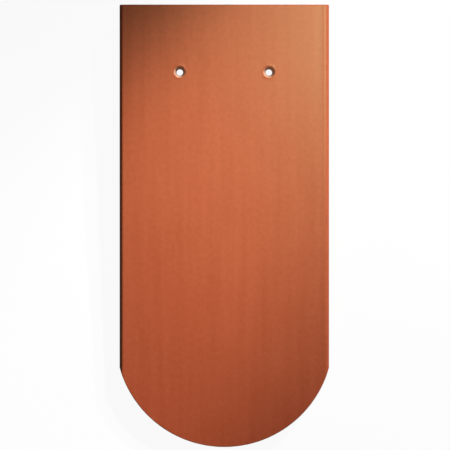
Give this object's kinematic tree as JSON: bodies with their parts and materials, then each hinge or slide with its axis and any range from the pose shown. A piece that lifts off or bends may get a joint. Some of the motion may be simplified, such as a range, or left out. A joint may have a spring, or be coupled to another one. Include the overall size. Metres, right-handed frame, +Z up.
{
  "type": "clay roof tile",
  "caption": "Flat clay roof tile with a round-cut tail, nail holes near its head and a hanging nib on its back.",
  "frame": {"origin": "on the floor under the middle of the tile's box, with the tile lying unheld on its nib and the tip of its tail", "axes": "+X across the tile, to the right with the head up and the weather face towards the viewer; +Y from the tail to the head; +Z up, out of the weather face, which leans 2.2 degrees because the nib lifts the head"},
  "size_m": [0.18, 0.3801, 0.0277],
  "materials": {
    "fired_clay": "natural red fired clay with a smooth satin face, faint lengthwise drag lines and matt cut edges"
  },
  "bodies": {
    "root": {"roof_tile": "fired_clay"}
  },
  "joints": []
}
